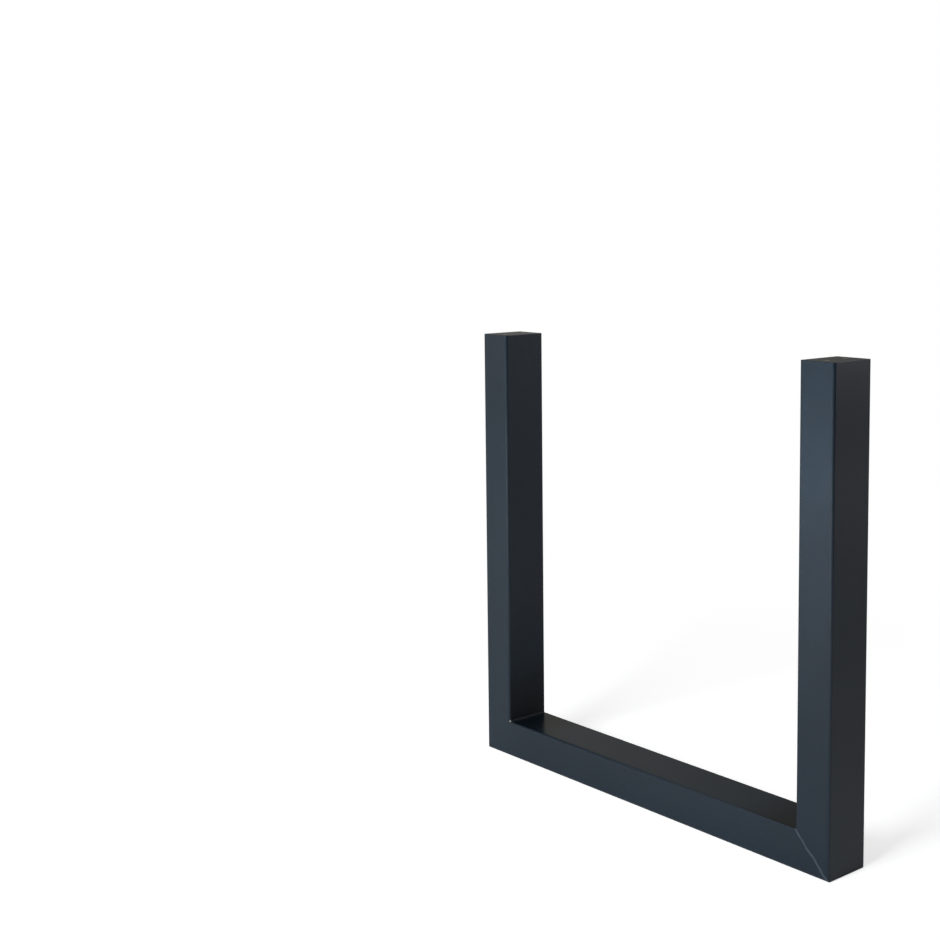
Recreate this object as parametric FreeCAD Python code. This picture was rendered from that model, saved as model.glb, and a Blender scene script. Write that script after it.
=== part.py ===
import FreeCAD, Part
import math
import os

from FreeCAD import Placement, Rotation, Vector

# A U-shaped table leg of rectangular steel tube, powder coated. Two uprights and a bottom rail
# are mitred at the lower corners and butt welded all round, so the hollow inside runs through
# the whole U. The outside of each weld is dressed flush, and the right one keeps a low seam on its
# front and back. A plate closes the top of each upright and is tapped for the bolts of the top.
# The frame: +Z up, X along the leg's width, Y through its depth, and the origin on the floor
# under the middle of the rail. All lengths are in millimetres.

# The U
leg_width = 750.0               # over the outsides of the uprights
leg_height = 720.0              # floor to the underside of the table top

# The tube, the same for the rail and the uprights
tube_face = 60.0                # side that is seen from the front
tube_depth = 80.0               # side that runs through the leg's depth
tube_wall = 2.0
tube_corner_radius = 4.0        # outside radius of the four long edges
least_inside_radius = 0.5       # kept inside them where the wall is as thick as that radius

# The welds of the mitred corners
mitre_weld_width = 2.0          # measured square to the mitre
dressed_corner_radius = 1.2     # outside corner of the mitre, after grinding
least_flat = 0.05               # of the weld, left beside that radius
inner_bead_leg = 2.0            # bead left in the inside corner
seam_height = 0.35              # how far the undressed seam stands proud
seam_width_outer = 3.0          # at the outside corner
seam_width_inner = 2.0          # at the inside corner

# The plates that close the uprights
plate_thickness = 8.0
plate_root_face = 0.5           # left square on the tube's wall, inside the weld
bolt_core_diameter = 6.8        # tapping drill of an M8 thread
bolt_spacing = 40.0             # between the two holes of a plate, along Y
plate_edge_break = 0.5          # chamfer round the upper edge

# Places that follow from the sizes above
half_width = leg_width / 2
half_depth = tube_depth / 2
upright_centre_x = half_width - tube_face / 2
plate_seat_z = leg_height - plate_thickness
plate_middle_z = leg_height - plate_thickness / 2
plate_weld_bevel = tube_wall - plate_root_face
mitre_length = tube_face * math.sqrt(2)
weld_past_corner = mitre_weld_width / math.sqrt(2)   # width of the weld on each face, from the corner
reach = leg_width + leg_height + tube_depth          # longer than anything a block has to cut
coincident = 0.001                                   # closer than this, two places are one


def rounded_rectangle(across, deep, radius):
    """Outline centred on the origin of the XY plane, with round corners."""
    quarters = ((1, 1, 0), (-1, 1, 90), (-1, -1, 180), (1, -1, 270))
    arcs = []
    for sign_x, sign_y, start in quarters:
        centre = Vector(sign_x * (across / 2 - radius), sign_y * (deep / 2 - radius), 0)
        circle = Part.Circle(centre, Vector(0, 0, 1), radius)
        arcs.append(Part.Arc(circle, math.radians(start), math.radians(start + 90)))
    edges = []
    for arc, following in zip(arcs, arcs[1:] + arcs[:1]):
        edges.append(arc.toShape())
        edges.append(Part.makeLine(arc.EndPoint, following.StartPoint))
    return Part.Wire(edges)


def outer_outline():
    """Outside of the tube's section."""
    return rounded_rectangle(tube_face, tube_depth, tube_corner_radius)


def inner_outline():
    """Inside of the tube's section, one wall further in."""
    radius = max(tube_corner_radius - tube_wall, least_inside_radius)
    return rounded_rectangle(tube_face - 2 * tube_wall, tube_depth - 2 * tube_wall, radius)


def tube(length):
    """Straight length of tube standing on the XY plane."""
    section = Part.Face(outer_outline()).cut(Part.Face(inner_outline()))
    return section.Faces[0].extrude(Vector(0, 0, length))


def square_ended_upright():
    """Right upright, before its foot is mitred."""
    upright = tube(plate_seat_z)
    upright.translate(Vector(upright_centre_x, 0, 0))
    return upright


def square_ended_rail():
    """Bottom rail, before its ends are mitred."""
    rail = tube(leg_width)
    rail.rotate(Vector(0, 0, 0), Vector(0, 1, 0), 90)
    rail.translate(Vector(-half_width, 0, tube_face / 2))
    return rail


def mitre_block(low, high):
    """Block at the right corner, from low to high across the mitre and unbounded along it.

    Heights are measured square to the mitre, positive towards the upright.
    """
    block = Part.makeBox(2 * reach, 2 * reach, high - low, Vector(-reach, -reach, low))
    block.Placement = Placement(Vector(half_width, 0, 0), Rotation(Vector(0, 1, 0), 45))
    return block


def mirrored(shape):
    """The same piece on the other side of the leg."""
    return shape.mirror(Vector(0, 0, 0), Vector(1, 0, 0))


def right_upright():
    """Upright with its foot mitred, short of the mitre by half the weld."""
    return square_ended_upright().cut(mitre_block(-reach, mitre_weld_width / 2))


def bottom_rail():
    """Rail with both ends mitred, short of each mitre by half the weld."""
    waste = mitre_block(-mitre_weld_width / 2, reach)
    return square_ended_rail().cut(waste).cut(mirrored(waste))


def inner_bead():
    """Bead along the inside corner, on the flat of the rail and of the upright."""
    corner_x = half_width - tube_face
    section = Part.makePolygon([
        Vector(corner_x, 0, tube_face),
        Vector(corner_x - inner_bead_leg, 0, tube_face),
        Vector(corner_x, 0, tube_face + inner_bead_leg),
        Vector(corner_x, 0, tube_face),
    ])
    flat_depth = tube_depth - 2 * tube_corner_radius
    bead = Part.Face(section).extrude(Vector(0, flat_depth, 0))
    bead.translate(Vector(0, -flat_depth / 2, 0))
    return bead


def on_outside_corner(edge):
    """Whether an edge lies along the outside corner of the right mitre."""
    box = edge.BoundBox
    return box.XMin > half_width - coincident and box.ZMax < coincident


def flush_mitre_weld():
    """Ring of weld that fills the right mitre through the whole wall, dressed outside."""
    half_weld = mitre_weld_width / 2
    upright_part = square_ended_upright().common(mitre_block(0, half_weld))
    rail_part = square_ended_rail().common(mitre_block(-half_weld, 0))
    ring = upright_part.fuse(rail_part).removeSplitter()
    corner_edges = [edge for edge in ring.Edges if on_outside_corner(edge)]
    radius = min(dressed_corner_radius, weld_past_corner - least_flat)
    dressed = ring.makeFillet(radius, corner_edges)
    return dressed.fuse(inner_bead()).removeSplitter()


def seam_section(distance, width):
    """Low arc over the front face, square to the mitre, at a distance from the outside corner."""
    across = Vector(1, 0, 1).normalize() * (width / 2)
    foot = Vector(half_width, -half_depth, 0) + Vector(-1, 0, 1).normalize() * distance
    crown = foot + Vector(0, -seam_height, 0)
    arc = Part.Arc(foot - across, crown, foot + across).toShape()
    chord = Part.makeLine(foot + across, foot - across)
    return Part.Wire([arc, chord])


def front_seam():
    """Undressed seam on the flat of the front face, wider at the outside corner."""
    run_out = tube_corner_radius * math.sqrt(2)
    outer_end = seam_section(run_out, seam_width_outer)
    inner_end = seam_section(mitre_length - run_out, seam_width_inner)
    return Part.makeLoft([outer_end, inner_end], True)


def seamed_mitre_weld():
    """Right corner weld with its seam left on the front and the back."""
    front = front_seam()
    back = front.mirror(Vector(0, 0, 0), Vector(0, 1, 0))
    return flush_mitre_weld().fuse([front, back]).removeSplitter()


def plate_blank():
    """Plate with the tube's outline, before its bevel and holes."""
    blank = Part.Face(outer_outline()).extrude(Vector(0, 0, plate_thickness))
    blank.translate(Vector(upright_centre_x, 0, plate_seat_z))
    return blank


def bevelled_plate():
    """Plate with the weld preparation round its lower edge."""
    blank = plate_blank()
    lower_edges = [edge for edge in blank.Edges if edge.BoundBox.ZMax < plate_middle_z]
    return blank.makeChamfer(plate_weld_bevel, lower_edges)


def right_top_plate():
    """Plate that closes the upright, drilled for the threads of the table top's bolts."""
    plate = bevelled_plate()
    upper_edges = [edge for edge in plate.Edges if edge.BoundBox.ZMin > plate_middle_z]
    plate = plate.makeChamfer(plate_edge_break, upper_edges)
    for y in (-bolt_spacing / 2, bolt_spacing / 2):
        foot = Vector(upright_centre_x, y, plate_seat_z)
        plate = plate.cut(Part.makeCylinder(bolt_core_diameter / 2, plate_thickness, foot))
    return plate


def right_plate_weld():
    """Weld that fills the bevel between the plate and the upright, dressed flush."""
    return plate_blank().cut(bevelled_plate())


def pieces():
    """Every piece of the leg by name."""
    return {
        "bottom_rail": bottom_rail(),
        "left_upright": mirrored(right_upright()),
        "right_upright": right_upright(),
        "left_corner_weld": mirrored(flush_mitre_weld()),
        "right_corner_weld": seamed_mitre_weld(),
        "left_top_plate": mirrored(right_top_plate()),
        "right_top_plate": right_top_plate(),
        "left_plate_weld": mirrored(right_plate_weld()),
        "right_plate_weld": right_plate_weld(),
    }


os.makedirs("parts", exist_ok=True)
for name, shape in pieces().items():
    shape.exportStep(f"parts/{name}.step")
    box = shape.BoundBox
    print(
        f"{name}: solids {len(shape.Solids)}, valid {shape.isValid()}, volume {shape.Volume:.1f}, "
        f"x {box.XMin:.2f} to {box.XMax:.2f}, y {box.YMin:.2f} to {box.YMax:.2f}, "
        f"z {box.ZMin:.2f} to {box.ZMax:.2f}"
    )
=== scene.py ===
"""Looks of a U-shaped table leg: coated steel tube, welded mitres and tapped top plates.

Three lengths of rectangular tube meet in mitres at the lower corners. A ring of weld fills each
mitre: it is ground flush, apart from the right one's seam on the front and the back. A plate
with two tapped holes closes the top of each upright. Everything wears one near-black powder coat.
All lengths are in metres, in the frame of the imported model: +Z up, X along the leg's width.
"""

import logging
import math
from dataclasses import dataclass, field
from enum import Enum
from typing import Any, Mapping, Sequence, Union

import bmesh
import bpy
import numpy as np
from mathutils import Matrix, Vector


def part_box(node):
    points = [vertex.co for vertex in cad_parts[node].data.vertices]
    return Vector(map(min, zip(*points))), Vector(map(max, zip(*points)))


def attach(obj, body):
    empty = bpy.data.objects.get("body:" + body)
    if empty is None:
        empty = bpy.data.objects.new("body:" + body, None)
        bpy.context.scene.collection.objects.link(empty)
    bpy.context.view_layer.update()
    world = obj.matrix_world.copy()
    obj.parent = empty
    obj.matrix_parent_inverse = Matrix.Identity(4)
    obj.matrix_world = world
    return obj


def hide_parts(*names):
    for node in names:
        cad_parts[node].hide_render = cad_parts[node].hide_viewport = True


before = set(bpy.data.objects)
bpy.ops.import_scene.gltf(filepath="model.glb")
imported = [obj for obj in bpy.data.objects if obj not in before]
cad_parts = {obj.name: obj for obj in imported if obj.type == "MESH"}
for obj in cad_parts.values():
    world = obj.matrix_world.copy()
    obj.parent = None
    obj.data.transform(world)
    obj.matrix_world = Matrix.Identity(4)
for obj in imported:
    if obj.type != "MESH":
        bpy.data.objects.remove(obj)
log = logging.getLogger("table_leg")

MM = 0.001
ROOT_BODY = "root"
MERGE_DISTANCE = 1e-7
WHITE = (1.0, 1.0, 1.0, 1.0)
Array = np.ndarray
Colour = tuple[float, float, float]


class Side(Enum):
    """Side of the leg, with the sign of X there."""

    LEFT = -1
    RIGHT = 1


class End(Enum):
    """How a length of tube is cut at one end."""

    SQUARE = "square"
    MITRED = "mitred"


class Dressing(Enum):
    """What grinding left of a corner weld."""

    FLUSH = "ground flush all round"
    SEAMED = "seam left on the front and the back"


def smooth_step(value: Array) -> Array:
    """Rise from 0 to 1 with level ends: three times the square less twice the cube.

    Args:
        value: Any numbers. They are held between 0 and 1 first.

    Returns:
        The eased numbers.
    """
    held = np.clip(value, 0.0, 1.0)
    return held * held * (3.0 - 2.0 * held)


def eased_steps(count: int, crowding: float) -> Array:
    """Steps from 0 to 1 that stand closer near both ends.

    The place is f less crowding times sin(2 pi f) over 2 pi, for f in even steps.

    Args:
        count: Number of places.
        crowding: Share by which the spacing shrinks at the ends, from 0 to below 1.

    Returns:
        The places in rising order.
    """
    even = np.linspace(0.0, 1.0, count)
    return even - crowding * np.sin(2 * math.pi * even) / (2 * math.pi)


def flat_steps(count: int, length: float, support: float) -> Array:
    """Places across a flat, with one more close to each end that keeps its shading flat.

    Args:
        count: Number of even places, both ends included.
        length: Width of the flat.
        support: Distance of the extra places from the ends.

    Returns:
        The places as shares of the width, in rising order.
    """
    margin = support / length
    even = np.linspace(0.0, 1.0, count)
    return np.sort(np.concatenate([even, [margin, 1.0 - margin]]))


@dataclass(frozen=True)
class RoundedSection:
    """Rectangle with round corners, the outline of the tube and of the plates.

    Its two coordinates are the place across, positive towards the outside of the U, and deep,
    which is Y.
    """

    across: float
    deep: float
    radius: float
    arc_segments: int = 10

    def half_outline(self, inset: float, outer: Array, flat: Array, inner: Array) -> Array:
        """Outline at positive depth, from the outside of the U to its inside.

        Each arc is its centre plus the radius less the inset, times the cosine and the sine.

        Args:
            inset: How far the outline is drawn in.
            outer: Places on the half of the outer face, from its middle (0) to the arc (1).
            flat: Places over the flat of the deep face, from the outer arc to the inner one.
            inner: Places on the half of the inner face, from its middle (0) to the arc (1).

        Returns:
            Points as rows of the place across and the depth.
        """
        centre = np.array([self.across / 2 - self.radius, self.deep / 2 - self.radius])
        radius = self.radius - inset
        turn = np.linspace(0.0, math.pi / 2, self.arc_segments + 1)
        outer_arc = centre + radius * np.stack([np.cos(turn), np.sin(turn)], axis=1)
        inner_arc = (outer_arc * [-1.0, 1.0])[::-1]
        outer_side = outer_arc[:1] * np.stack([np.ones_like(outer), outer], axis=1)
        inner_side = inner_arc[-1:] * np.stack([np.ones_like(inner), inner], axis=1)
        deep_side = outer_arc[-1:] + (inner_arc[:1] - outer_arc[-1:]) * flat[:, None]
        return np.concatenate(
            [outer_side[:-1], outer_arc, deep_side[1:-1], inner_arc, inner_side[::-1][1:]]
        )

    def outline(self, inset: float, outer: Array, flat: Array, inner: Array) -> Array:
        """Whole outline: the half at positive depth, then its mirror image run backwards.

        Args:
            inset: How far the outline is drawn in.
            outer: Places on each half of the outer face.
            flat: Places over the flat of each deep face.
            inner: Places on each half of the inner face.

        Returns:
            Points as rows of the place across and the depth. The last isn't the first again.
        """
        half = self.half_outline(inset, outer, flat, inner)
        return np.concatenate([half, (half * [1.0, -1.0])[-2:0:-1]])

    def flat_share(self, points: Array) -> Array:
        """How far each outline point is into its flat: 0 at the arcs, 1 in the flat's middle.

        It is one less the square of the place on the flat, counted from its middle.

        Args:
            points: Rows of the place across and the depth.

        Returns:
            One share for each point.
        """
        half_flat = np.array([self.across, self.deep]) / 2 - self.radius
        place = np.abs(points) / half_flat
        on_deep_face = place[:, 1] > 1.0
        along_flat = np.where(on_deep_face, place[:, 0], place[:, 1])
        return np.clip(1.0 - along_flat**2, 0.0, 1.0)

    def rounding_share(self, points: Array) -> Array:
        """How far each outline point is into a corner's arc: 0 on the flats, 1 in its middle.

        Args:
            points: Rows of the place across and the depth.

        Returns:
            One share for each point.
        """
        half_flat = np.array([self.across, self.deep]) / 2 - self.radius
        past = np.clip(np.abs(points) - half_flat, 0.0, self.radius) / self.radius
        return np.clip(2.0 * np.minimum(past[:, 0], past[:, 1]), 0.0, 1.0)

    def outward(self, points: Array) -> Array:
        """Unit direction out of the section at each outline point.

        Args:
            points: Rows of the place across and the depth.

        Returns:
            Rows of the same two coordinates.
        """
        half_flat = np.array([self.across, self.deep]) / 2 - self.radius
        offset = points - np.clip(points, -half_flat, half_flat)
        return offset / np.linalg.norm(offset, axis=1, keepdims=True)


@dataclass
class Patch:
    """Grid of points, one part of a piece's surface."""

    points: Array
    rows_close: bool = False
    columns_close: bool = False
    marks: Mapping[str, Array] = field(default_factory=dict)

    def quads(self, first: int) -> Array:
        """Corners of the grid's faces, as numbers of points counted row by row.

        Args:
            first: Number of the grid's first point.

        Returns:
            Rows of four numbers.
        """
        rows, columns = self.points.shape[:2]
        number = first + np.arange(rows * columns).reshape(rows, columns)
        if self.rows_close:
            number = np.concatenate([number, number[:1]], axis=0)
        if self.columns_close:
            number = np.concatenate([number, number[:, :1]], axis=1)
        corners = (number[:-1, :-1], number[:-1, 1:], number[1:, 1:], number[1:, :-1])
        return np.stack(corners, axis=-1).reshape(-1, 4)


def surface_piece(name: str, patches: Sequence[Patch], sharp_angle: float) -> bpy.types.Object:
    """Joins patches into one closed mesh whose faces point outwards.

    Args:
        name: Name of the piece.
        patches: Grids that meet along their borders.
        sharp_angle: Edges that turn by more than this many degrees stay sharp.

    Returns:
        The new object, at the origin.
    """
    points = np.concatenate([patch.points.reshape(-1, 3) for patch in patches])
    firsts = np.cumsum([0] + [patch.points.shape[0] * patch.points.shape[1] for patch in patches])
    quads = np.concatenate([patch.quads(first) for patch, first in zip(patches, firsts)])
    mesh = bpy.data.meshes.new(name)
    mesh.vertices.add(len(points))
    mesh.vertices.foreach_set("co", points.astype(np.float32).ravel())
    mesh.loops.add(quads.size)
    mesh.loops.foreach_set("vertex_index", quads.astype(np.int32).ravel())
    mesh.polygons.add(len(quads))
    mesh.polygons.foreach_set("loop_start", np.arange(0, quads.size, 4, dtype=np.int32))
    for mark in sorted({mark for patch in patches for mark in patch.marks}):
        values = [
            np.broadcast_to(patch.marks.get(mark, 0.0), patch.points.shape[:2]).ravel()
            for patch in patches
        ]
        attribute = mesh.attributes.new(mark, "FLOAT", "POINT")
        attribute.data.foreach_set("value", np.concatenate(values).astype(np.float32))
    mesh.update(calc_edges=True)
    close_surface(mesh)
    mesh.polygons.foreach_set("use_smooth", np.ones(len(mesh.polygons), dtype=bool))
    mesh.set_sharp_from_angle(angle=math.radians(sharp_angle))
    piece = bpy.data.objects.new(name, mesh)
    bpy.context.scene.collection.objects.link(piece)
    return piece


def close_surface(mesh: bpy.types.Mesh) -> None:
    """Merges the points that patches share and turns every face outwards.

    Args:
        mesh: The mesh to change.
    """
    work = bmesh.new()
    work.from_mesh(mesh)
    bmesh.ops.remove_doubles(work, verts=work.verts, dist=MERGE_DISTANCE)
    bmesh.ops.recalc_face_normals(work, faces=work.faces)
    work.to_mesh(mesh)
    work.free()


@dataclass(frozen=True)
class Leg:
    """Sizes that the pieces share. All but the last three are read from the fixed model."""

    half_width: float
    height: float
    section: RoundedSection
    plate_seat: float
    mitre_gap: float
    wall: float = 2.0 * MM
    bolt_spacing: float = 40.0 * MM
    plate_bevel: float = 1.5 * MM

    @classmethod
    def from_frame(cls) -> "Leg":
        """Reads the sizes from the boxes of the fixed model's nodes."""
        rail_low, rail_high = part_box("bottom_rail")
        plate_low, plate_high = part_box("right_top_plate")
        section = RoundedSection(
            across=rail_high.z - rail_low.z,
            deep=rail_high.y - rail_low.y,
            radius=4.0 * MM,
        )
        return cls(
            half_width=plate_high.x,
            height=plate_high.z,
            section=section,
            plate_seat=plate_low.z,
            mitre_gap=plate_high.x - rail_high.x,
        )

    @property
    def upright_centre(self) -> float:
        """Distance of an upright's middle from the leg's."""
        return self.half_width - self.section.across / 2


@dataclass
class Surroundings:
    """Names that put a piece into the frame."""

    name: str
    node: str
    slot: str

    def piece(
        self, patches: Sequence[Patch], material: bpy.types.Material, sharp_angle: float = 40.0
    ) -> bpy.types.Object:
        """Makes the piece, dresses it, lets it ride on the leg and stand for its node.

        Args:
            patches: Grids that meet along their borders.
            material: Its coat.
            sharp_angle: Edges that turn by more than this many degrees stay sharp.

        Returns:
            The finished piece.
        """
        piece = surface_piece(self.name, patches, sharp_angle)
        piece.data.materials.append(material)
        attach(piece, ROOT_BODY)
        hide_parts(self.node)
        mesh = piece.data
        log.info("%s: %d points, %d faces", piece.name, len(mesh.vertices), len(mesh.polygons))
        return piece


@dataclass
class TubeRun:
    """One length of tube: its flats are very slightly hollow, as rolled tube is.

    A point is the middle of the run, plus s along it, plus the place across times the outward
    direction, plus the depth along Y.
    """

    leg: Leg
    names: Surroundings
    middle: Vector
    along: Vector
    outward: Vector
    start: End
    finish: End
    half_length: float
    row_count: int = 120
    face_places: int = 13
    crowding: float = 0.75
    support: float = 0.4 * MM
    hollow: float = 0.10 * MM
    ripple: float = 0.05 * MM
    wave_lengths: tuple[float, float] = (0.23, 0.097)
    wave_shares: tuple[float, float] = (0.7, 0.3)
    across_phase: float = 2.4
    deep_phase: float = 4.1
    side_phase: float = 11.0
    short_phase: float = 1.7
    settle_length: float = 30.0 * MM

    def outlines(self) -> tuple[Array, Array]:
        """Outer outline and the inner one, a wall further in, with the same number of points."""
        section = self.leg.section
        half_side = section.deep / 2 - section.radius
        side = 1.0 - flat_steps(self.face_places, half_side, self.support)[::-1]
        side = side[side > 0.9 * self.support / half_side]
        side = np.concatenate([[0.0], side])
        flat = flat_steps(self.face_places, section.across - 2 * section.radius, self.support)
        outer = section.outline(0.0, side, flat, side)
        inner = section.outline(self.leg.wall, side, flat, side)
        return outer, inner

    def end_place(self, across: Array, kind: End) -> Array:
        """Distance of a cut end from the run's middle, by the place across.

        A mitred end is as much shorter as the point lies inside the outer face, and by half
        the weld as well.

        Args:
            across: Places across the tube.
            kind: How the end is cut.

        Returns:
            The distances.
        """
        if kind is End.SQUARE:
            return np.full_like(across, self.half_length)
        return self.half_length - (self.leg.section.across / 2 - across) - self.leg.mitre_gap

    def sink(self, outline: Array, place: Array) -> Array:
        """How far the surface lies inside the true flat.

        The flat's share times a hollow that breathes with two sine waves along the tube, each
        face with its own phase, and fading to nothing towards both ends.

        Args:
            outline: Points of the section.
            place: Distances along the run, rows by outline points.

        Returns:
            Depths, shaped as the places.
        """
        share = self.leg.section.flat_share(outline)
        direction = self.leg.section.outward(outline)
        phase = self.across_phase * direction[:, 0] + self.deep_phase * direction[:, 1]
        phase = phase + self.side_phase * self.middle.x
        long_wave, short_wave = self.wave_lengths
        long_share, short_share = self.wave_shares
        slow = np.sin(2 * math.pi * place / long_wave + phase)
        quick = np.sin(2 * math.pi * place / short_wave - self.short_phase * phase)
        breath = long_share * slow + short_share * quick
        fade = smooth_step((place - place[:1]) / self.settle_length)
        fade = fade * smooth_step((place[-1:] - place) / self.settle_length)
        return share * fade * (self.hollow + self.ripple * breath)

    def wall_rows(self, outline: Array, steps: Array, sunk: bool) -> Array:
        """Rows of points of one wall surface, from the start of the run to its finish.

        Args:
            outline: Points of the section.
            steps: Places along the run, from 0 to 1.
            sunk: Whether the flats are hollow.

        Returns:
            Points, rows by outline points by three.
        """
        across = outline[:, 0]
        start = -self.end_place(across, self.start)
        finish = self.end_place(across, self.finish)
        place = start + (finish - start) * steps[:, None]
        shown = np.broadcast_to(outline, place.shape + (2,))
        if sunk:
            direction = self.leg.section.outward(outline)
            shown = shown - self.sink(outline, place)[..., None] * direction
        return (
            np.array(self.middle)
            + place[..., None] * np.array(self.along)
            + shown[..., :1] * np.array(self.outward)
            + shown[..., 1:] * np.array([0.0, 1.0, 0.0])
        )

    def build(self, material: bpy.types.Material) -> bpy.types.Object:
        """Makes the run: outer wall out, inner wall back, closed over both cut ends.

        Args:
            material: The coat.

        Returns:
            The finished piece.
        """
        outer, inner = self.outlines()
        outside = self.wall_rows(outer, eased_steps(self.row_count, self.crowding), sunk=True)
        inside = self.wall_rows(inner, np.array([1.0, 0.0]), sunk=False)
        points = np.concatenate([outside, inside])
        rounding = np.broadcast_to(self.leg.section.rounding_share(outer), points.shape[:2])
        patch = Patch(points, rows_close=True, columns_close=True, marks={"rounding": rounding})
        return self.names.piece([patch], material)


@dataclass
class CornerWeld:
    """Ring of weld in one mitre, with a bead in the inside corner.

    Round the ring a point P runs along the mitre's edge. Across the ring the surface is the
    curve (1-t)(1-t) A + 2 t (1-t) C + t t B, from A on the rail to B on the upright, both one
    reach away from P. C is P itself, or part of the way to the middle of A and B.
    """

    leg: Leg
    names: Surroundings
    side: Side
    dressing: Dressing
    rows: int = 15
    bead_reach: float = 2.0 * MM
    bead_fill: float = 0.25
    seam_height: float = 0.35 * MM
    seam_reach_outer: float = 2.5 * MM
    seam_run_out: float = 3.0 * MM
    ripple_pitch: float = 1.35 * MM
    ripple_height: float = 0.07 * MM
    ripple_fullness: float = 0.7
    drift: float = 0.35
    drift_length: float = 4.1 * MM
    swell: float = 0.2
    swell_length: float = 6.3 * MM
    ripple_places: int = 7
    plain_places: int = 14

    def outlines(self) -> tuple[Array, Array]:
        """Outer and inner outline, with close places wherever ripples show."""
        section = self.leg.section
        half_side = section.deep / 2 - section.radius
        flat_length = (section.across - 2 * section.radius) * math.sqrt(2)
        place_gap = self.ripple_pitch / self.ripple_places
        outer = np.linspace(0.0, 1.0, self.plain_places)
        inner = np.linspace(0.0, 1.0, int(half_side / place_gap))
        flat = np.linspace(0.0, 1.0, self.plain_places)
        if self.dressing is Dressing.SEAMED:
            flat = np.linspace(0.0, 1.0, int(flat_length / place_gap))
        ring = section.outline(0.0, outer, flat, inner)
        root = section.outline(self.leg.wall, outer, flat, inner)
        return ring, root

    def mitre_edge(self, outline: Array) -> Array:
        """The point P for each outline point, on the right corner's mitre.

        Args:
            outline: Points of the section.

        Returns:
            Rows of three: as far in from the outer face as up from the floor.
        """
        depth_in = self.leg.section.across / 2 - outline[:, 0]
        return np.stack([self.leg.half_width - depth_in, outline[:, 1], depth_in], axis=1)

    def seam_share(self, outline: Array) -> Array:
        """How fully the proud seam stands at each outline point.

        Args:
            outline: Points of the section.

        Returns:
            One on the flats of the front and the back, easing to nothing at their ends.
        """
        if self.dressing is Dressing.FLUSH:
            return np.zeros(len(outline))
        section = self.leg.section
        inside_flat = section.across / 2 - section.radius - np.abs(outline[:, 0])
        on_face = np.abs(outline[:, 1]) > section.deep / 2 - MERGE_DISTANCE
        return on_face * smooth_step(inside_flat / self.seam_run_out)

    def bead_share(self, outline: Array) -> Array:
        """How fully the inside bead stands at each outline point.

        Args:
            outline: Points of the section.

        Returns:
            One on the inner face, easing to nothing over its two arcs.
        """
        section = self.leg.section
        past_flat = -outline[:, 0] - (section.across / 2 - section.radius)
        return smooth_step(past_flat / section.radius)

    def ripples(self, edge: Array) -> Array:
        """Uneven crests along the ring, from 0 to 1.

        A raised cosine of the length along the ring over the pitch, whose phase and height
        drift with slower sines, as a hand-laid bead does.

        Args:
            edge: The points P.

        Returns:
            One height for each.
        """
        length = np.cumsum(np.linalg.norm(np.diff(edge, axis=0, prepend=edge[:1]), axis=1))
        turns = length / self.ripple_pitch + self.drift * np.sin(length / self.drift_length)
        crest = 0.5 - 0.5 * np.cos(2 * math.pi * turns)
        swelling = (1.0 - self.swell) + self.swell * np.sin(length / self.swell_length + 1.0)
        return crest**self.ripple_fullness * swelling

    def strip(self, outline: Array, steps: Array, shaped: bool) -> tuple[Array, Array]:
        """Surface across the ring, as the class says.

        Args:
            outline: Points of the section.
            steps: The values of t.
            shaped: Whether the seam, the bead and their ripples stand on it.

        Returns:
            Points, rows by outline points by three, and how far up a crest each is, from 0 to 1.
        """
        edge = self.mitre_edge(outline)
        seam = self.seam_share(outline) * shaped
        bead = self.bead_share(outline) * shaped
        outer_share = outline[:, 0] / self.leg.section.across + 0.5
        reach = np.full(len(outline), self.leg.mitre_gap)
        reach = reach + seam * (self.seam_reach_outer - self.leg.mitre_gap) * outer_share
        reach = reach + bead * (self.bead_reach - self.leg.mitre_gap)
        on_rail = edge - reach[:, None] * np.array([1.0, 0.0, 0.0])
        on_upright = edge + reach[:, None] * np.array([0.0, 0.0, 1.0])
        fill = (self.bead_fill * bead)[:, None]
        control = edge + fill * ((on_rail + on_upright) / 2 - edge)
        t = steps[:, None, None]
        points = (1 - t) ** 2 * on_rail + 2 * t * (1 - t) * control + t**2 * on_upright
        arch = 1.0 - (2.0 * steps[:, None] - 1.0) ** 2
        crest = self.ripples(edge)
        height = seam * arch * (self.seam_height - self.ripple_height * (1.0 - crest))
        outward_y = np.sign(outline[:, 1]) * height
        lift = bead * arch * self.ripple_height * (crest - 0.5)
        points = points + np.stack([-lift, outward_y, lift], axis=-1)
        points[..., 0] *= self.side.value
        return points, arch * seam * crest

    def build(self, material: bpy.types.Material) -> bpy.types.Object:
        """Makes the ring: outer strip across, root strip back, closed through the wall.

        Args:
            material: The coat.

        Returns:
            The finished piece.
        """
        ring, root = self.outlines()
        face, crest = self.strip(ring, np.linspace(0.0, 1.0, self.rows), shaped=True)
        back, plain = self.strip(root, np.linspace(1.0, 0.0, 3), shaped=False)
        rounding = self.leg.section.rounding_share(ring)
        marks = {"crest": np.concatenate([crest, plain]), "rounding": rounding}
        patch = Patch(np.concatenate([face, back]), rows_close=True, columns_close=True, marks=marks)
        return self.names.piece([patch], material)


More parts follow.
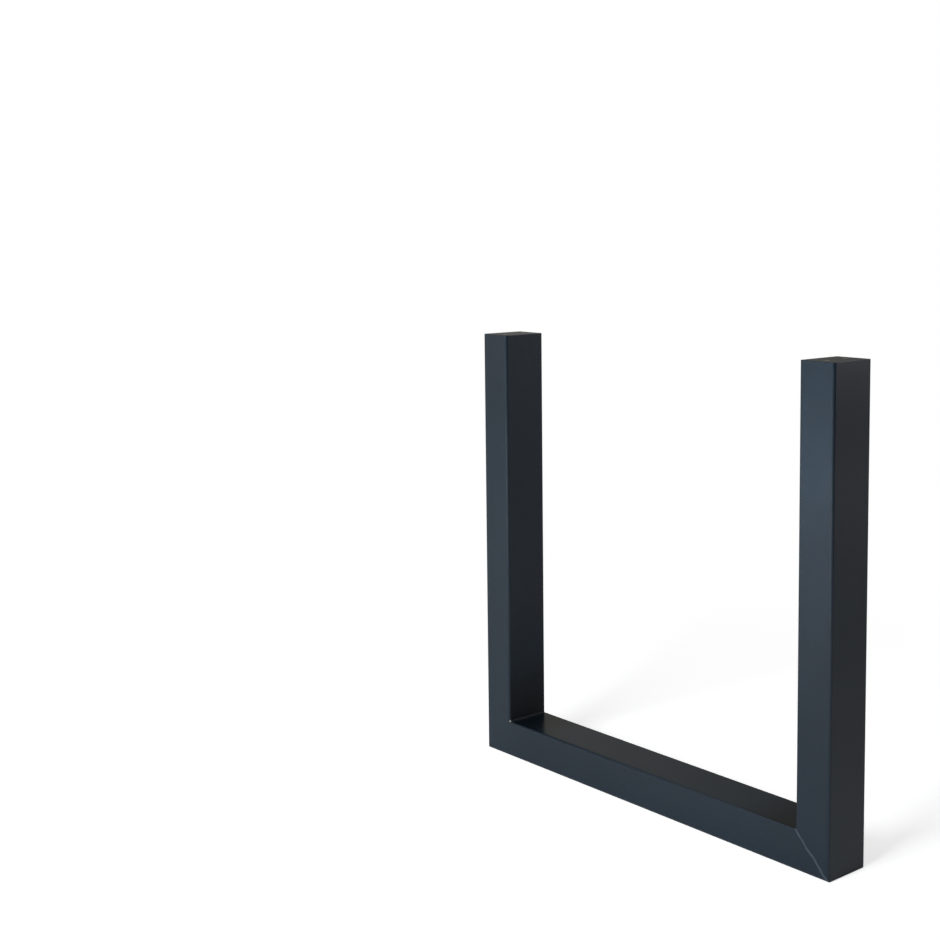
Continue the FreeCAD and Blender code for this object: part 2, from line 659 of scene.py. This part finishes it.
@dataclass(frozen=True)
class Thread:
    """Internal thread of one tapped hole, with a short lead-in at its mouth."""

    pitch: float = 1.25 * MM
    crest_radius: float = 3.4 * MM
    root_radius: float = 4.0 * MM
    lead_in_radius: float = 4.25 * MM
    rows_per_turn: int = 12
    flank_gain: float = 1.35
    crest_flat: float = 0.2

    def radius(self, angle: Array, height: Array, top: float) -> Array:
        """Radius of the wall by angle and height.

        A triangle wave of the height over the pitch less the angle over a full turn, cut off
        at the crest and the root. The lead-in's cone goes wherever it is wider.

        Args:
            angle: Angles round the hole.
            height: Heights over the foot of the hole.
            top: Height of the hole's mouth.

        Returns:
            The radii.
        """
        turn = height / self.pitch - angle / (2 * math.pi)
        wave = np.abs(2.0 * (turn - np.floor(turn)) - 1.0)
        depth = np.clip(self.flank_gain * wave - self.crest_flat, 0.0, 1.0)
        cut = self.crest_radius + (self.root_radius - self.crest_radius) * depth
        cone = self.lead_in_radius - (top - height)
        return np.maximum(cut, cone)


@dataclass
class TopPlate:
    """Plate that closes an upright, with two tapped holes.

    Each half is a fan of columns: down the thread, out under the plate, up its bevelled edge and
    back over the top to the hole's mouth.
    """

    leg: Leg
    names: Surroundings
    side: Side
    thread: Thread = Thread()
    edge_break: float = 0.5 * MM
    side_places: int = 9
    back_places: int = 15
    middle_places: int = 17
    fan_rows: int = 6
    sharp_angle: float = 30.0

    def half_loop(self, inset: float) -> Array:
        """Half of the plate's outline and then the middle line back to its start.

        Args:
            inset: How far the outline is drawn in. The middle line is never drawn in.

        Returns:
            Rows of the place across and the depth.
        """
        side = np.linspace(0.0, 1.0, self.side_places)
        back = np.linspace(0.0, 1.0, self.back_places)
        half = self.leg.section.half_outline(inset, side, back, side)
        middle = np.linspace(half[-1, 0], half[0, 0], self.middle_places)[1:-1]
        return np.concatenate([half, np.stack([middle, np.zeros_like(middle)], axis=1)])

    def placed(self, across: Array, deep: Array, height: Array, mirror: float) -> Array:
        """Points of the frame for places on the half plate.

        Args:
            across: Places across.
            deep: Depths, all positive.
            height: Heights over the plate's seat.
            mirror: Sign of the depth of this half.

        Returns:
            The points.
        """
        across, deep, height = np.broadcast_arrays(across, deep, height)
        x = self.side.value * (self.leg.upright_centre + across)
        return np.stack([x, mirror * deep, self.leg.plate_seat + height], axis=-1)

    def half(self, mirror: float) -> list[Patch]:
        """Patches of one half.

        Args:
            mirror: Sign of the half's depth.

        Returns:
            The threaded wall, the underside, the top and the edge.
        """
        thickness = self.leg.height - self.leg.plate_seat
        hole = np.array([0.0, self.leg.bolt_spacing / 2])
        under = self.half_loop(self.leg.plate_bevel)
        top = self.half_loop(self.edge_break)
        angle = np.arctan2(top[:, 1] - hole[1], top[:, 0] - hole[0])
        levels = np.linspace(0.0, 1.0, int(thickness / self.thread.pitch * self.thread.rows_per_turn))
        height = thickness * levels[:, None]
        radius = self.thread.radius(angle, height, thickness)
        wall = self.placed(
            hole[0] + radius * np.cos(angle), hole[1] + radius * np.sin(angle), height, mirror
        )
        bare = np.ones_like(height)
        bare[[0, -1]] = 0.0
        fan = np.linspace(0.0, 1.0, self.fan_rows)[:, None, None]
        under_rim = self.placed(under[:, 0], under[:, 1], 0.0, mirror)
        top_rim = self.placed(top[:, 0], top[:, 1], thickness, mirror)
        underside = wall[:1] + (under_rim - wall[:1]) * fan
        upper = wall[-1:] + (top_rim - wall[-1:]) * fan
        kept = len(top) - (self.middle_places - 2)
        full = self.half_loop(0.0)[:kept]
        edge = np.stack(
            [
                under_rim[:kept],
                self.placed(full[:, 0], full[:, 1], self.leg.plate_bevel, mirror),
                self.placed(full[:, 0], full[:, 1], thickness - self.edge_break, mirror),
                top_rim[:kept],
            ]
        )
        return [
            Patch(wall, columns_close=True, marks={"bare": bare}),
            Patch(underside, columns_close=True),
            Patch(upper, columns_close=True),
            Patch(edge, marks={"rounding": np.array([0.0, 0.0, 1.0, 1.0])[:, None]}),
        ]

    def build(self, material: bpy.types.Material) -> bpy.types.Object:
        """Makes the plate from its two halves.

        Args:
            material: The coat.

        Returns:
            The finished piece.
        """
        halves = self.half(1.0) + self.half(-1.0)
        return self.names.piece(halves, material, self.sharp_angle)


@dataclass
class PlateWeld:
    """Weld that fills the bevel under a plate, ground flush with the tube."""

    leg: Leg
    names: Surroundings
    side: Side
    side_places: int = 13
    back_places: int = 15

    def build(self, material: bpy.types.Material) -> bpy.types.Object:
        """Makes the ring: up the flush face, down the bevel and back along the seat.

        Args:
            material: The coat.

        Returns:
            The finished piece.
        """
        side = np.linspace(0.0, 1.0, self.side_places)
        back = np.linspace(0.0, 1.0, self.back_places)
        section = self.leg.section
        outer = section.outline(0.0, side, back, side)
        inner = section.outline(self.leg.plate_bevel, side, back, side)
        bevel = self.leg.plate_bevel
        rings = ((outer, 0.0), (outer, bevel / 2), (outer, bevel), (inner, 0.0))
        rows = [
            np.stack(
                [
                    self.side.value * (self.leg.upright_centre + ring[:, 0]),
                    ring[:, 1],
                    np.full(len(ring), self.leg.plate_seat + height),
                ],
                axis=1,
            )
            for ring, height in rings
        ]
        marks = {"rounding": section.rounding_share(outer)}
        patch = Patch(np.stack(rows), rows_close=True, columns_close=True, marks=marks)
        return self.names.piece([patch], material)


Operand = Union["Signal", float]


@dataclass
class Signal:
    """A node's output, wrapped so that Python expressions write the shader's maths."""

    tree: "ShaderTree"
    socket: bpy.types.NodeSocket

    def maths(self, operation: str, first: Operand, second: Operand) -> "Signal":
        """Adds one Math node.

        Args:
            operation: The node's operation.
            first: Its first value.
            second: Its second value.

        Returns:
            The result.
        """
        return self.tree.node("ShaderNodeMath", {"operation": operation}, {0: first, 1: second})

    def __add__(self, other: Operand) -> "Signal":
        """Sum."""
        return self.maths("ADD", self, other)

    def __sub__(self, other: Operand) -> "Signal":
        """Difference."""
        return self.maths("SUBTRACT", self, other)

    def __rsub__(self, other: Operand) -> "Signal":
        """Difference from a number."""
        return self.maths("SUBTRACT", other, self)

    def __mul__(self, other: Operand) -> "Signal":
        """Product."""
        return self.maths("MULTIPLY", self, other)

    __radd__ = __add__
    __rmul__ = __mul__

    def most(self, other: Operand) -> "Signal":
        """The greater of two values."""
        return self.maths("MAXIMUM", self, other)

    def size(self) -> "Signal":
        """The value without its sign."""
        return self.most(0.0 - self)

    def rise(self, low: float, high: float) -> "Signal":
        """Smooth rise from 0 at low to 1 at high, held outside them.

        Args:
            low: Value where the rise starts.
            high: Value where it ends.

        Returns:
            The result.
        """
        return self.tree.node(
            "ShaderNodeMapRange",
            {"interpolation_type": "SMOOTHSTEP"},
            {"Value": self, "From Min": low, "From Max": high},
        )


class ShaderTree:
    """A material's or the world's node tree, written from Python."""

    MIX_FACTOR = 0
    MIX_FIRST_COLOUR = 6
    MIX_SECOND_COLOUR = 7
    MIX_COLOUR_OUT = 2

    def __init__(self, owner: Union[bpy.types.Material, bpy.types.World]) -> None:
        """Empties the owner's tree.

        Args:
            owner: Material or world.
        """
        owner.use_nodes = True
        self.tree = owner.node_tree
        self.tree.nodes.clear()

    def node(
        self,
        kind: str,
        settings: Mapping[str, Any],
        inputs: Mapping[Union[str, int], Any],
        output: Union[str, int] = 0,
    ) -> Signal:
        """Adds any node: its settings first, then the values or links of its sockets.

        Args:
            kind: Blender's name of the node's type.
            settings: Attributes of the node, such as an operation.
            inputs: Sockets by name or number, each with a value or a signal.
            output: The socket to return, by name or number.

        Returns:
            The chosen output. A node without outputs returns its first input.
        """
        node = self.tree.nodes.new(kind)
        for name, value in settings.items():
            setattr(node, name, value)
        for name, value in inputs.items():
            if isinstance(value, Signal):
                self.tree.links.new(value.socket, node.inputs[name])
            else:
                node.inputs[name].default_value = value
        return Signal(self, node.outputs[output] if node.outputs else node.inputs[0])

    def axis(self, where: Signal, name: str) -> Signal:
        """One number of a vector, named X, Y or Z."""
        return self.node("ShaderNodeSeparateXYZ", {}, {0: where}, name)

    def distance(self, first: Signal, second: tuple[float, float, float]) -> Signal:
        """Distance between two places."""
        places = {0: first, 1: second}
        return self.node("ShaderNodeVectorMath", {"operation": "DISTANCE"}, places, "Value")

    def noise(self, where: Signal, scale: float, detail: float) -> Signal:
        """Soft noise from 0 to 1.

        Args:
            where: Coordinates.
            scale: Waves per metre.
            detail: Octaves.

        Returns:
            The noise.
        """
        inputs = {"Vector": where, "Scale": scale, "Detail": detail}
        return self.node("ShaderNodeTexNoise", {"noise_dimensions": "3D"}, inputs)

    def mix(self, factor: Signal, first: Any, second: Any) -> Signal:
        """Colour between two others.

        Args:
            factor: 0 for the first, 1 for the second.
            first: Colour or signal.
            second: Colour or signal.

        Returns:
            The mixed colour.
        """
        inputs = {
            self.MIX_FACTOR: factor,
            self.MIX_FIRST_COLOUR: first,
            self.MIX_SECOND_COLOUR: second,
        }
        return self.node("ShaderNodeMix", {"data_type": "RGBA"}, inputs, self.MIX_COLOUR_OUT)

    def mark(self, name: str) -> Signal:
        """A number that a piece's mesh carries at each point.

        Args:
            name: Name of the mesh's attribute.

        Returns:
            The number.
        """
        return self.node("ShaderNodeAttribute", {"attribute_name": name}, {}, "Fac")


def opaque(colour: Colour) -> tuple[float, float, float, float]:
    """The colour with full alpha, as sockets take it."""
    return (*colour, 1.0)


@dataclass(frozen=True)
class PowderCoat:
    """Satin powder coat with its cloudy tone, handling marks, dust and orange peel.

    A painted highlight makes the coat paler in an uneven band along the right mitre, on the front
    and the back, and a painted glint lies on a small chip at the left inside corner. Painted shade
    darkens it towards the inside corners. It is duller right in them and down the uprights' inner
    faces.
    """

    name: str
    half_width: float
    half_depth: float
    face: float
    colour: Colour = (0.0078, 0.0176, 0.0295)
    cloud_colour: Colour = (0.0098, 0.0213, 0.0355)
    rubbed_colour: Colour = (0.022, 0.027, 0.033)
    rubbed_scale: float = 40.0
    rubbed_share: float = 0.16
    smudge_share: float = 0.07
    dust_colour: Colour = (0.11, 0.105, 0.10)
    dust_scale: float = 34.0
    dust_share: float = 0.01
    dust_patches: float = 0.03
    # Painted highlight: the colour of the pale band along the right mitre's seam.
    band_highlight_colour: Colour = (0.048, 0.064, 0.088)
    band_scale: float = 60.0
    band_patches: float = 0.28
    band_patch_scale: float = 170.0
    band_slimming: float = 0.30
    band_half_width: float = 2.7 * MM
    band_wander: float = 7.0 * MM
    # Painted shade: the coat darkens towards the inside corners, by this colour, share and reach.
    painted_shade_colour: Colour = (0.0008, 0.0026, 0.0050)
    painted_shade_share: float = 0.85
    corner_scale: float = 24.0
    edge_start: float = 0.3 * MM
    edge_end: float = 1.5 * MM
    painted_shade_reach: float = 130.0 * MM
    thin_reach: float = 8.0 * MM
    thin_roughness: float = 0.36
    foot_start: float = 1.0 * MM
    foot_full: float = 6.0 * MM
    foot_reach: float = 360.0 * MM
    foot_roughness: float = 0.42
    inner_roughness: float = 0.08
    roughness: float = 0.24
    flicker: float = 0.05
    cloud_scale: float = 7.0
    smudge_scale: float = 11.0
    peel_scale: float = 380.0
    peel_depth: float = 0.02 * MM
    # Painted glint: a pale spot on a small chip at the left inside corner.
    chip_glint_place: tuple[float, float, float] = (-0.3150, -0.0392, 0.0605)
    chip_glint_radius: float = 2.2 * MM
    chip_glint_colour: Colour = (0.42, 0.43, 0.43)

    def tone(self, tree: ShaderTree, where: Signal, smudge: Signal) -> Signal:
        """Colour of the plain coat.

        Args:
            tree: The material's tree.
            where: Object coordinates.
            smudge: Mask of the handling marks.

        Returns:
            The colour.
        """
        cloud = tree.noise(where, self.cloud_scale, 4.0).rise(0.30, 0.75)
        colour = tree.mix(cloud, opaque(self.colour), opaque(self.cloud_colour))
        worn = tree.mark("rounding") * tree.noise(where, self.rubbed_scale, 3.0).rise(0.40, 0.80)
        rubbed = worn * self.rubbed_share + smudge * self.smudge_share
        colour = tree.mix(rubbed, colour, opaque(self.rubbed_colour))
        upward = tree.axis(tree.node("ShaderNodeNewGeometry", {}, {}, "Normal"), "Z").rise(0.80, 0.99)
        patches = tree.noise(where, self.dust_scale, 6.0).rise(0.40, 0.80)
        dust = upward * (self.dust_share + patches * self.dust_patches)
        colour = tree.mix(dust, colour, opaque(self.dust_colour))
        # Painted shade: the colour darkens towards the inside corners.
        shade = self.corner(tree, where, self.painted_shade_reach) * self.painted_shade_share
        return tree.mix(shade, colour, opaque(self.painted_shade_colour))

    def beside(self, tree: ShaderTree, where: Signal) -> Signal:
        """One between the uprights, up to their inner faces, and nothing inside them."""
        inside = self.half_width - self.face
        across = tree.axis(where, "X").size()
        return 1.0 - across.rise(inside + self.edge_start, inside + self.edge_end)

    def corner(self, tree: ShaderTree, where: Signal, reach: float) -> Signal:
        """Mask of the inside corners, for the painted shade in the colour and a duller coat there.

        The distance is the one to the line through the nearer corner, with a little noise.

        Args:
            tree: The material's tree.
            where: Object coordinates.
            reach: Distance from the corner at which the mask has faded out.

        Returns:
            One at the corners, and nothing off the U's inner faces.
        """
        z = tree.axis(where, "Z")
        across = tree.axis(where, "X").size()
        place = tree.node("ShaderNodeCombineXYZ", {}, {"X": across, "Z": z})
        distance = tree.distance(place, (self.half_width - self.face, 0.0, self.face))
        uneven = distance + (tree.noise(where, self.corner_scale, 3.0) - 0.5) * (0.25 * reach)
        above = z.rise(self.face - self.edge_end, self.face - self.edge_start)
        return self.beside(tree, where) * above * (1.0 - uneven.rise(0.15 * reach, reach))

    def foot(self, tree: ShaderTree, where: Signal) -> Signal:
        """How much duller the coat is on the uprights' inner faces, most of all at the rail.

        Args:
            tree: The material's tree.
            where: Object coordinates.

        Returns:
            The roughness to add, which is nothing off the uprights' inner faces.
        """
        z = tree.axis(where, "Z")
        above = z.rise(self.face + self.foot_start, self.face + self.foot_full)
        near = 1.0 - z.rise(self.face, self.face + self.foot_reach)
        added = self.inner_roughness + near * self.foot_roughness
        return self.beside(tree, where) * above * added

    def band(self, tree: ShaderTree, where: Signal) -> Signal:
        """Mask of the pale band of painted highlight along the right mitre.

        The distance from the mitre's plane is the size of half the leg's width less x less z,
        over the root of two. Noise shifts the plane a little and makes the band patchy. It
        narrows towards the inside corner.

        Args:
            tree: The material's tree.
            where: Object coordinates.

        Returns:
            One in the band, on the front and the back only.
        """
        x = tree.axis(where, "X")
        z = tree.axis(where, "Z")
        shift = (tree.noise(where, self.band_scale, 2.0) - 0.5) * self.band_wander
        offset = (self.half_width - x - z) * math.sqrt(0.5) + shift
        inward = z.rise(0.1 * self.face, 0.9 * self.face)
        narrowed = offset.size() + inward * (self.band_slimming * self.band_half_width)
        across = 1.0 - narrowed.rise(0.55 * self.band_half_width, 1.1 * self.band_half_width)
        depth = tree.axis(where, "Y").size()
        facing = depth.rise(self.half_depth - 3.0 * MM, self.half_depth - 1.0 * MM)
        below = 1.0 - z.rise(self.face, self.face + 3.0 * MM)
        patches = tree.noise(where, self.band_patch_scale, 3.0).rise(0.30, 0.70)
        patchy = (1.0 - self.band_patches) + self.band_patches * patches
        return across * facing * below * patchy

    def finished_colour(self, tree: ShaderTree, where: Signal, smudge: Signal) -> Signal:
        """The coat with the painted highlight of its pale band, and a painted glint on the one
        small chip at the left inside corner.

        Args:
            tree: The material's tree.
            where: Object coordinates.
            smudge: Mask of the handling marks.

        Returns:
            The colour.
        """
        tone = self.tone(tree, where, smudge)
        # Painted highlight: the pale band along the right mitre's seam.
        colour = tree.mix(self.band(tree, where), tone, opaque(self.band_highlight_colour))
        # Painted glint on the small chip at the left inside corner.
        distance = tree.distance(where, self.chip_glint_place)
        chip = 1.0 - distance.rise(0.5 * self.chip_glint_radius, self.chip_glint_radius)
        return tree.mix(chip, colour, opaque(self.chip_glint_colour))

    def material(self) -> bpy.types.Material:
        """Makes the material."""
        material = bpy.data.materials.new(self.name)
        tree = ShaderTree(material)
        where = tree.node("ShaderNodeTexCoord", {}, {}, "Object")
        smudge = tree.noise(where, self.smudge_scale, 3.0).rise(0.42, 0.78)
        colour = self.finished_colour(tree, where, smudge)
        flicker = tree.noise(where, 3.0 * self.smudge_scale, 3.0) - 0.5
        thin = self.corner(tree, where, self.thin_reach)
        dull = (thin * self.thin_roughness).most(self.foot(tree, where))
        roughness = self.roughness + flicker * self.flicker + dull
        coarse = tree.noise(where, self.peel_scale, 2.0)
        fine = tree.noise(where, 2.6 * self.peel_scale, 2.0)
        relief = {"Height": coarse + 0.35 * fine, "Distance": self.peel_depth, "Strength": 1.0}
        bump = tree.node("ShaderNodeBump", {}, relief)
        inputs = {"Base Color": colour, "Roughness": roughness, "IOR": 1.5, "Normal": bump}
        shader = tree.node("ShaderNodeBsdfPrincipled", {}, inputs)
        tree.node("ShaderNodeOutputMaterial", {}, {"Surface": shader})
        return material


@dataclass(frozen=True)
class WeldCoat(PowderCoat):
    """The same coat over weld, with a painted highlight on the crests of the seam's ripples."""

    crest_highlight_colour: Colour = (0.066, 0.082, 0.108)
    crest_highlight_share: float = 0.6

    def finished_colour(self, tree: ShaderTree, where: Signal, smudge: Signal) -> Signal:
        """The coat's colour, turned towards the crests' painted highlight by the mark on the mesh.

        Args:
            tree: The material's tree.
            where: Object coordinates.
            smudge: Mask of the handling marks.

        Returns:
            The colour.
        """
        colour = super().finished_colour(tree, where, smudge)
        # Painted highlight on the crests of the seam's ripples.
        return tree.mix(tree.mark("crest") * self.crest_highlight_share, colour, opaque(self.crest_highlight_colour))


@dataclass(frozen=True)
class PlateCoat(PowderCoat):
    """The coat on a plate, with the oiled steel of its tapped threads left bare."""

    steel_colour: Colour = (0.19, 0.185, 0.18)

    def finished_colour(self, tree: ShaderTree, where: Signal, smudge: Signal) -> Signal:
        """The coat's colour, and steel in the threads.

        Args:
            tree: The material's tree.
            where: Object coordinates.
            smudge: Mask of the handling marks.

        Returns:
            The colour.
        """
        colour = super().finished_colour(tree, where, smudge)
        return tree.mix(tree.mark("bare"), colour, opaque(self.steel_colour))


@dataclass(frozen=True)
class Lamp:
    """One soft lamp of the studio."""

    name: str
    place: tuple[float, float, float]
    aim: tuple[float, float, float]
    width: float
    height: float
    power: float
    colour: Colour
    spread: float = math.pi

    def build(self) -> bpy.types.Object:
        """Makes the lamp and turns it to its aim."""
        data = bpy.data.lights.new(self.name, "AREA")
        data.shape = "RECTANGLE"
        data.size = self.width
        data.size_y = self.height
        data.energy = self.power
        data.color = self.colour
        data.spread = self.spread
        lamp = bpy.data.objects.new(self.name, data)
        lamp.location = self.place
        direction = Vector(self.aim) - Vector(self.place)
        lamp.rotation_euler = direction.to_track_quat("-Z", "Y").to_euler()
        bpy.context.scene.collection.objects.link(lamp)
        return lamp


@dataclass(frozen=True)
class Studio:
    """Pale floor, dim room and soft lamps."""

    floor_half_size: float = 40.0
    floor_colour: Colour = (0.80, 0.80, 0.80)
    glow: float = 0.66
    shown_colour: Colour = (0.80, 0.80, 0.80)
    shadow_radius: float = 0.45
    white_radius: float = 1.5
    room_low: Colour = (0.030, 0.030, 0.030)
    room_high: Colour = (0.060, 0.060, 0.060)
    room_left: Colour = (0.235, 0.222, 0.195)
    left_rise: tuple[float, float] = (0.48, 0.72)
    overhead_rise: tuple[float, float] = (0.80, 0.98)
    upper_left_rise: tuple[float, float] = (0.60, 0.98)
    lamps: tuple[Lamp, ...] = (
        Lamp(
            "front_light", (0.3, -3.6, 1.9), (-0.5, -1.5, 0.0),
            1.8, 1.2, 134.0, (0.95, 0.98, 1.0),
        ),
        Lamp(
            "front_left_overhead", (-1.8, -3.0, 2.8), (-1.8, -3.001, 0.0),
            2.5, 2.5, 23.0, (0.97, 1.0, 0.97),
        ),
        Lamp(
            "front_left_panel", (-2.6, -3.9, 0.45), (0.0, 0.0, 0.3),
            2.4, 0.8, 4.0, (0.73, 0.88, 1.0),
        ),
        Lamp(
            "left_panel", (-4.4, -3.3, 0.45), (0.0, 0.0, 0.3),
            1.8, 0.8, 2.4, (1.0, 0.93, 0.75),
        ),
        Lamp(
            "right_panel", (3.4, 3.9, 0.75), (0.375, 0.0, 0.5),
            1.8, 1.0, 6.8, (0.95, 0.91, 1.0),
        ),
        Lamp(
            "back_light", (1.0, 3.6, 2.4), (0.0, 0.0, 0.3),
            2.0, 1.2, 13.0, (1.0, 1.0, 1.0),
        ),
        Lamp(
            "back_overhead", (-0.3, 3.0, 3.4), (0.0, 0.0, 0.3),
            2.0, 1.2, 16.0, (1.0, 1.0, 1.0),
        ),
        Lamp(
            "front_floor_light", (-1.9, -2.9, 1.2), (-1.9, -2.9, 0.0),
            1.0, 1.0, 15.5, (0.38, 0.67, 1.0), 1.6,
        ),
        Lamp(
            "right_floor_light", (2.3, 2.5, 1.2), (2.3, 2.5, 0.0),
            1.0, 1.0, 2.2, (0.91, 0.84, 1.0), 1.6,
        ),
    )

    def floor(self) -> bpy.types.Object:
        """Makes the floor, a plane that shows white from a short way off the leg."""
        reach = self.floor_half_size
        signs = ((-1, -1), (1, -1), (1, 1), (-1, 1))
        corners = [(x * reach, y * reach, 0.0) for x, y in signs]
        mesh = bpy.data.meshes.new("floor")
        mesh.from_pydata(corners, [], [(0, 1, 2, 3)])
        floor = bpy.data.objects.new("floor", mesh)
        bpy.context.scene.collection.objects.link(floor)
        mesh.materials.append(self.floor_material())
        return floor

    def floor_material(self) -> bpy.types.Material:
        """Plain diffuse floor. The camera sees it as a share of its light plus a steady glow."""
        material = bpy.data.materials.new("pale_floor")
        tree = ShaderTree(material)
        where = tree.node("ShaderNodeTexCoord", {}, {}, "Object")
        distance = tree.node("ShaderNodeVectorMath", {"operation": "LENGTH"}, {0: where}, "Value")
        far = distance.rise(self.shadow_radius, self.white_radius)
        seen = tree.node("ShaderNodeLightPath", {}, {}, "Is Camera Ray")
        through = tree.node("ShaderNodeLightPath", {}, {}, "Is Transmission Ray")
        lit = tree.node("ShaderNodeBsdfDiffuse", {}, {"Color": opaque(self.floor_colour)})
        shown = tree.node("ShaderNodeBsdfDiffuse", {}, {"Color": opaque(self.shown_colour)})
        glow = tree.node("ShaderNodeEmission", {}, {"Color": WHITE, "Strength": self.glow})
        near_floor = tree.node("ShaderNodeAddShader", {}, {0: shown, 1: glow})
        white = tree.node("ShaderNodeEmission", {}, {"Color": WHITE, "Strength": 1.0})
        ground = tree.node("ShaderNodeMixShader", {}, {0: far, 1: near_floor, 2: white})
        whole = tree.node("ShaderNodeMixShader", {}, {0: seen.most(through), 1: lit, 2: ground})
        tree.node("ShaderNodeOutputMaterial", {}, {"Surface": whole})
        return material

    def world(self) -> None:
        """White ground for the camera, round a dim room with a lighter left wall.

        The coat mirrors the white too where its rays go up steeply, and sooner so on the
        left. Near the horizon it mirrors the dim room, as the photographed coat does.
        """
        world = bpy.data.worlds.new("studio")
        bpy.context.scene.world = world
        tree = ShaderTree(world)
        direction = tree.node("ShaderNodeTexCoord", {}, {}, "Generated")
        height = tree.axis(direction, "Z")
        left = (0.0 - tree.axis(direction, "X")).rise(*self.left_rise)
        overhead = height.rise(*self.overhead_rise)
        room = tree.mix(overhead, opaque(self.room_low), opaque(self.room_high))
        room = tree.mix(left, room, opaque(self.room_left))
        camera = tree.node("ShaderNodeLightPath", {}, {}, "Is Camera Ray")
        glossy = tree.node("ShaderNodeLightPath", {}, {}, "Is Glossy Ray")
        through = tree.node("ShaderNodeLightPath", {}, {}, "Is Transmission Ray")
        upper_left = left * height.rise(*self.upper_left_rise)
        white = camera.most(through).most(glossy * overhead.most(upper_left))
        colour = tree.mix(white, room, WHITE)
        background = tree.node("ShaderNodeBackground", {}, {"Color": colour, "Strength": 1.0})
        tree.node("ShaderNodeOutputWorld", {}, {"Surface": background})

    def build(self) -> None:
        """Makes the floor, the world and the lamps."""
        self.floor()
        self.world()
        for lamp in self.lamps:
            lamp.build()
            log.info("%s is lit", lamp.name)


@dataclass(frozen=True)
class Viewpoint:
    """Camera at the photograph's place, found from the leg's straight edges."""

    place: tuple[float, float, float] = (1.6738, -1.6633, 0.9119)
    aim: tuple[float, float, float] = (-0.2150, 0.0, 0.6568)
    roll: float = -0.34
    lens: float = 59.23
    sensor: float = 36.0
    shift: tuple[float, float] = (-0.1, -0.1)

    def build(self) -> bpy.types.Object:
        """Makes the camera and gives it to the scene."""
        data = bpy.data.cameras.new("photograph")
        data.lens = self.lens
        data.sensor_width = self.sensor
        data.shift_x, data.shift_y = self.shift
        camera = bpy.data.objects.new("photograph", data)
        look = (Vector(self.aim) - Vector(self.place)).normalized()
        level = look.cross(Vector((0.0, 0.0, 1.0))).normalized()
        upright = level.cross(look)
        turn = math.radians(self.roll)
        right = math.cos(turn) * level + math.sin(turn) * upright
        up = math.cos(turn) * upright - math.sin(turn) * level
        axes = Matrix((right, up, -look)).transposed().to_4x4()
        camera.matrix_world = Matrix.Translation(self.place) @ axes
        bpy.context.scene.collection.objects.link(camera)
        bpy.context.scene.camera = camera
        return camera


def build_tubes(leg: Leg, coat: bpy.types.Material) -> None:
    """Makes the rail and the two uprights.

    Args:
        leg: Sizes of the leg.
        coat: The powder coat.
    """
    TubeRun(
        leg=leg,
        names=Surroundings("coated_bottom_rail", "bottom_rail", "powder_coat"),
        middle=Vector((0.0, 0.0, leg.section.across / 2)),
        along=Vector((1.0, 0.0, 0.0)),
        outward=Vector((0.0, 0.0, -1.0)),
        start=End.MITRED,
        finish=End.MITRED,
        half_length=leg.half_width,
    ).build(coat)
    for side in Side:
        label = side.name.lower()
        TubeRun(
            leg=leg,
            names=Surroundings(f"coated_{label}_upright", f"{label}_upright", "powder_coat"),
            middle=Vector((side.value * leg.upright_centre, 0.0, leg.plate_seat / 2)),
            along=Vector((0.0, 0.0, 1.0)),
            outward=Vector((side.value, 0.0, 0.0)),
            start=End.MITRED,
            finish=End.SQUARE,
            half_length=leg.plate_seat / 2,
        ).build(coat)


def build_ends(leg: Leg, weld: bpy.types.Material, plate: bpy.types.Material) -> None:
    """Makes each side's corner weld, top plate and plate weld.

    Args:
        leg: Sizes of the leg.
        weld: The coat over weld.
        plate: The coat on the plates.
    """
    dressings = {Side.LEFT: Dressing.FLUSH, Side.RIGHT: Dressing.SEAMED}
    for side in Side:
        label = side.name.lower()
        corner = Surroundings(f"coated_{label}_corner_weld", f"{label}_corner_weld", "coated_weld")
        CornerWeld(leg, corner, side, dressings[side]).build(weld)
        top = Surroundings(f"tapped_{label}_top_plate", f"{label}_top_plate", "coated_plate")
        TopPlate(leg, top, side).build(plate)
        seam = Surroundings(f"coated_{label}_plate_weld", f"{label}_plate_weld", "coated_weld")
        PlateWeld(leg, seam, side).build(weld)


def main() -> None:
    """Builds the leg, its studio and the camera."""
    logging.basicConfig(level=logging.INFO, format="%(name)s: %(message)s")
    bpy.context.scene.view_settings.view_transform = "Standard"
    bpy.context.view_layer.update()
    leg = Leg.from_frame()
    sizes = (leg.half_width, leg.section.deep / 2, leg.section.across)
    build_tubes(leg, PowderCoat("powder_coat", *sizes).material())
    weld = WeldCoat("coated_weld", *sizes).material()
    plate = PlateCoat("coated_plate", *sizes).material()
    build_ends(leg, weld, plate)
    Studio().build()
    Viewpoint().build()


if __name__ == "__main__":
    main()
